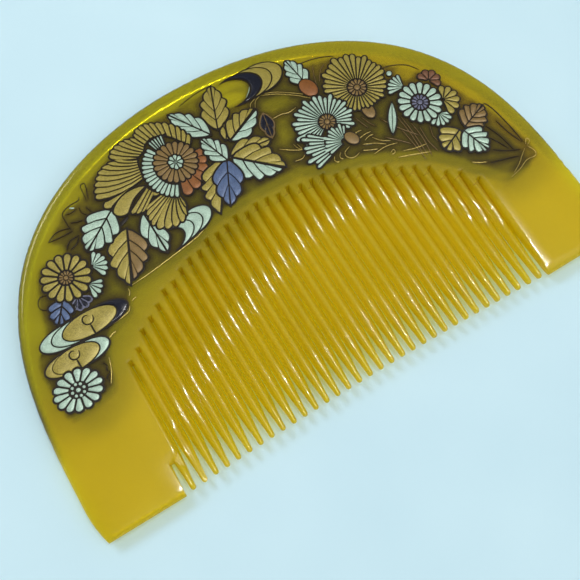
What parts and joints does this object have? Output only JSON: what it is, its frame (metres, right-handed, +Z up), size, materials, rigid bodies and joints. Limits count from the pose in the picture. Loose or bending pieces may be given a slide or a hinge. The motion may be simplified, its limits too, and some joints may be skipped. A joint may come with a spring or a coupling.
{
  "type": "kushi comb",
  "caption": "Half-round hair comb of translucent amber plastic with fine teeth and a band of raised flower, leaf and water-swirl lacquer ornament on its spine.",
  "frame": {"origin": "centre of the bounding box in X and Y, on the surface that the comb lies on", "axes": "+X along the row of teeth, +Y from the tips towards the crown, +Z up out of the decorated face"},
  "size_m": [0.1, 0.0644, 0.0045],
  "materials": {
    "amber_plastic": "polished translucent amber",
    "gold_powder": "sprinkled gold powder, satin",
    "silver_powder": "sprinkled silver powder, satin",
    "copper_powder": "sprinkled copper powder, satin",
    "black_lacquer": "polished black lacquer",
    "blue_lacquer": "blue metallic lacquer"
  },
  "bodies": {
    "root": {"comb_body": "amber_plastic", "contour_line": "gold_powder", "stem_lines": "gold_powder", "twig_line": "gold_powder", "left_sprig_line": "gold_powder", "silver_half_flower_right": "silver_powder", "silver_fan_right": "silver_powder", "copper_flower_right": "copper_powder", "gold_half_flower_right": "gold_powder", "silver_daisy_right": "silver_powder", "copper_leaf_right_end": "copper_powder", "gold_leaf_right_end": "gold_powder", "silver_leaf_right_end": "silver_powder", "silver_dagger_leaf": "silver_powder", "silver_bud": "silver_powder", "copper_bud": "copper_powder", "copper_bud_dim": "copper_powder", "silver_dot": "silver_powder", "gold_thistle": "gold_powder", "thistle_heart": "copper_powder", "silver_chrysanthemum": "silver_powder", "chrysanthemum_heart": "copper_powder", "silver_fan_flower": "silver_powder", "copper_bud_low": "copper_powder", "gold_scales": "gold_powder", "black_moon": "black_lacquer", "gold_leaf_top": "gold_powder", "silver_leaf_top": "silver_powder", "gold_sprig_mid": "gold_powder", "silver_half_leaf_mid": "silver_powder", "gold_half_leaf_mid": "gold_powder", "black_leaf_mid": "black_lacquer", "silver_wave": "silver_powder", "silver_veined_leaf": "silver_powder", "copper_half_leaf_left": "copper_powder", "gold_half_leaf_left": "gold_powder", "silver_leaf_left": "silver_powder", "peony_gold_petals": "gold_powder", "peony_copper_lobes": "copper_powder", "peony_silver_petals": "silver_powder", "peony_copper_ring": "copper_powder", "peony_heart": "silver_powder", "gold_leaf_right": "gold_powder", "gold_half_leaf_right": "gold_powder", "silver_half_leaf_right": "silver_powder", "gold_half_leaf_low": "gold_powder", "blue_leaf_mid": "blue_lacquer", "silver_leaf_mid": "silver_powder", "black_fan_left": "black_lacquer", "silver_fan_left_low": "silver_powder", "silver_fan_left_high": "silver_powder", "blue_leaf_left": "blue_lacquer", "gold_daisy_left": "gold_powder", "upper_swirl_shade": "black_lacquer", "upper_swirl_scales": "silver_powder", "upper_swirl": "gold_powder", "lower_swirl_scale": "silver_powder", "lower_swirl": "gold_powder", "silver_daisy_left": "silver_powder"}
  },
  "joints": []
}
